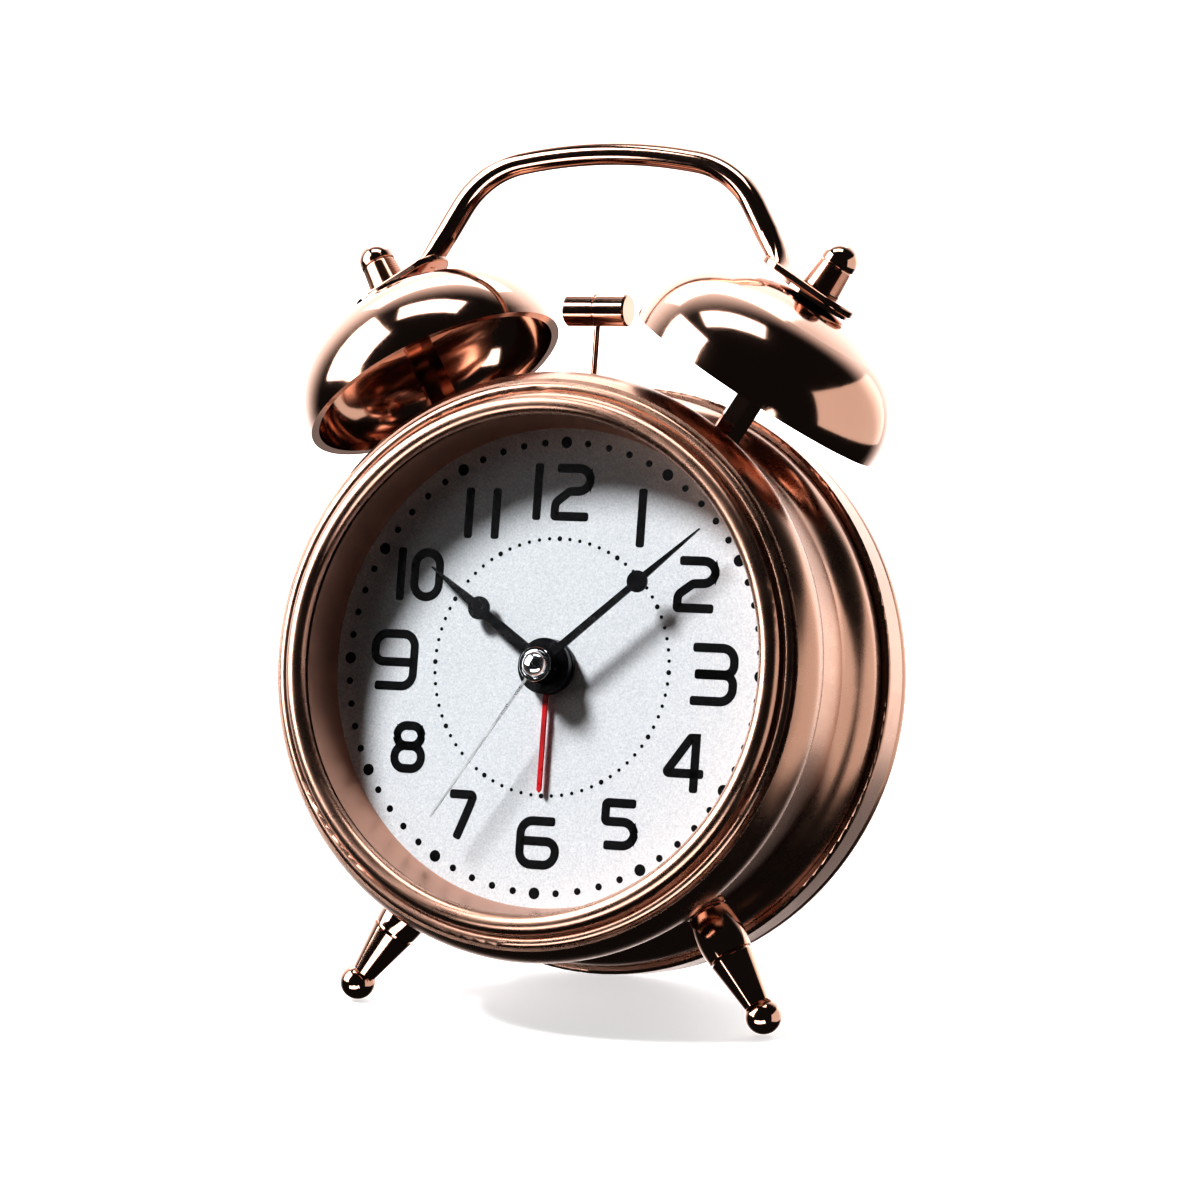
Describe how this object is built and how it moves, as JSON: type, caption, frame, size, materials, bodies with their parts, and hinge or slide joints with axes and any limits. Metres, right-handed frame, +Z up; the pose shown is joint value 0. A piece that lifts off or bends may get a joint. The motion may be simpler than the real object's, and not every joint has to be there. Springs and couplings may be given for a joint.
{
  "type": "twin-bell alarm clock",
  "caption": "Round copper-plated table alarm clock with twin bells, a hammer between them, a carrying handle, splayed legs, a numbered dial and hands.",
  "frame": {"origin": "on the table, under the middle of the overall box", "axes": "+Z up; -Y towards someone reading the dial; +X to that reader's right. The clock leans back about 19 degrees on its two legs and its rear rim."},
  "size_m": [0.1128, 0.079, 0.1524],
  "materials": {
    "copper_polished": "polished",
    "copper_satin": "satin",
    "lens_glass": "gloss",
    "gasket_rubber": "matte",
    "dial_white": "matte",
    "carrier_plastic": "matte",
    "hand_black": "satin",
    "hand_red": "satin",
    "hand_silver": "satin",
    "cap_chrome": "polished",
    "black_plastic": "matte",
    "nylon": "satin",
    "movement_plastic": "matte",
    "ferrite": "matte",
    "silicon_steel": "satin",
    "steel": "satin",
    "coil_wire": "satin",
    "circuit_green": "satin",
    "lamp_lens": "gloss",
    "switch_rubber": "satin",
    "battery_wrap": "satin"
  },
  "bodies": {
    "case": {"left_bell": "copper_polished", "right_bell": "copper_polished", "handle": "copper_polished", "left_leg": "copper_polished", "right_leg": "copper_polished", "left_cap_nut": "copper_polished", "right_cap_nut": "copper_polished", "bell_washers": "copper_polished", "left_bell_post": "copper_polished", "right_bell_post": "copper_polished", "front_bezel": "copper_satin", "case_drum": "copper_satin", "rear_rim": "copper_satin", "reflector_ring": "copper_satin", "lens": "lens_glass", "lens_gasket": "gasket_rubber", "dial": "dial_white", "dial_carrier": "carrier_plastic", "rear_cover": "black_plastic", "coil_bobbin": "nylon", "movement_front_plate": "movement_plastic", "movement_housing": "movement_plastic", "train_bridge": "movement_plastic", "stator": "silicon_steel", "case_nuts": "steel", "movement_screws": "steel", "cover_screws": "steel", "hammer_pivot": "steel", "striker_motor": "steel", "quartz_crystal": "steel", "battery_contacts": "steel", "drive_coil": "coil_wire", "circuit_board": "circuit_green", "dial_lamp": "lamp_lens", "light_switch": "switch_rubber", "battery": "battery_wrap"},
    "seconds": {"second_wheel": "nylon", "second_hand": "hand_silver", "second_hand_cap": "cap_chrome"},
    "third": {"third_wheel": "nylon"},
    "centre": {"centre_wheel": "nylon"},
    "intermediate": {"intermediate_wheel": "nylon"},
    "rotor_body": {"rotor": "ferrite"},
    "minutes": {"cannon_pinion": "nylon", "minute_hand": "hand_black"},
    "motion": {"motion_wheel": "nylon"},
    "hours": {"hour_wheel": "nylon", "hour_hand": "hand_black"},
    "time_knob": {"time_set_knob": "black_plastic"},
    "alarm": {"alarm_wheel": "nylon", "alarm_hand": "hand_red"},
    "alarm_knob": {"alarm_set_knob": "black_plastic"},
    "crank": {"crank_gear": "nylon"},
    "motor_shaft": {"motor_pinion": "steel"},
    "hammer": {"hammer_head": "copper_polished", "hammer_rod": "steel", "hammer_rocker": "nylon"},
    "button": {"light_button": "black_plastic"},
    "switch": {"alarm_switch": "black_plastic"},
    "door": {"battery_door": "black_plastic"}
  },
  "joints": [
    {"name": "second_hand_spin", "type": "hinge", "parent": "case", "child": "seconds", "pos_m": [0, -0.00882, 0.06156], "axis": [0, 0.9473, -0.3202], "continuous": true},
    {"name": "third_wheel_spin", "type": "hinge", "parent": "case", "child": "third", "pos_m": [0.0045, -0.00544, 0.05281], "axis": [0, 0.9473, -0.3202], "continuous": true},
    {"name": "centre_wheel_spin", "type": "hinge", "parent": "case", "child": "centre", "pos_m": [0, -0.00342, 0.05973], "axis": [0, 0.9473, -0.3202], "continuous": true},
    {"name": "intermediate_wheel_spin", "type": "hinge", "parent": "case", "child": "intermediate", "pos_m": [-0.0052, -0.00125, 0.05583], "axis": [0, 0.9473, -0.3202], "continuous": true},
    {"name": "rotor_spin", "type": "hinge", "parent": "case", "child": "rotor_body", "pos_m": [-0.00968, -0.00043, 0.05201], "axis": [0, 0.9473, -0.3202], "continuous": true},
    {"name": "minute_hand_spin", "type": "hinge", "parent": "case", "child": "minutes", "pos_m": [0, -0.01071, 0.0622], "axis": [0, 0.9473, -0.3202], "continuous": true},
    {"name": "motion_wheel_spin", "type": "hinge", "parent": "case", "child": "motion", "pos_m": [-0.00728, -0.00368, 0.06426], "axis": [0, 0.9473, -0.3202], "continuous": true},
    {"name": "hour_hand_spin", "type": "hinge", "parent": "case", "child": "hours", "pos_m": [0, -0.01071, 0.0622], "axis": [0, 0.9473, -0.3202], "continuous": true},
    {"name": "time_knob_spin", "type": "hinge", "parent": "case", "child": "time_knob", "pos_m": [-0.01568, 0.02568, 0.05433], "axis": [0, 0.9473, -0.3202], "continuous": true},
    {"name": "alarm_hand_spin", "type": "hinge", "parent": "case", "child": "alarm", "pos_m": [0, -0.01071, 0.0622], "axis": [0, 0.9473, -0.3202], "continuous": true},
    {"name": "alarm_knob_spin", "type": "hinge", "parent": "case", "child": "alarm_knob", "pos_m": [0.01336, 0.02568, 0.05433], "axis": [0, 0.9473, -0.3202], "continuous": true},
    {"name": "striker_crank_spin", "type": "hinge", "parent": "case", "child": "crank", "pos_m": [0, 0.00375, 0.07842], "axis": [0, 0.9473, -0.3202], "continuous": true},
    {"name": "motor_pinion_spin", "type": "hinge", "parent": "case", "child": "motor_shaft", "pos_m": [0.0069, 0.00375, 0.07842], "axis": [0, 0.9473, -0.3202], "continuous": true},
    {"name": "hammer_swing", "type": "hinge", "parent": "case", "child": "hammer", "pos_m": [0, 0.00496, 0.08857], "axis": [0, 0.9473, -0.3202], "range_deg": [-7.3, 7.3]},
    {"name": "light_button_press", "type": "slide", "parent": "case", "child": "button", "axis": [0, -0.9473, 0.3202], "range_m": [0, 0.0015], "stiffness_N_per_m": 500, "springref_m": -0.001},
    {"name": "alarm_switch_slide", "type": "slide", "parent": "case", "child": "switch", "axis": [0, 0.3202, 0.9473], "range_m": [0, 0.004]},
    {"name": "battery_door_pull", "type": "slide", "parent": "case", "child": "door", "axis": [0, 0.9473, -0.3202], "range_m": [0, 0.012]}
  ],
  "couplings": [
    {"joint": "third_wheel_spin", "follows": "second_hand_spin", "ratio": -0.125},
    {"joint": "centre_wheel_spin", "follows": "second_hand_spin", "ratio": 0.016667},
    {"joint": "intermediate_wheel_spin", "follows": "second_hand_spin", "ratio": -5},
    {"joint": "rotor_spin", "follows": "second_hand_spin", "ratio": 30},
    {"joint": "motion_wheel_spin", "follows": "minute_hand_spin", "ratio": -0.33333},
    {"joint": "hour_hand_spin", "follows": "minute_hand_spin", "ratio": 0.083333},
    {"joint": "time_knob_spin", "follows": "minute_hand_spin", "ratio": 1},
    {"joint": "alarm_knob_spin", "follows": "alarm_hand_spin", "ratio": -0.75},
    {"joint": "striker_crank_spin", "follows": "motor_pinion_spin", "ratio": -0.27778}
  ]
}
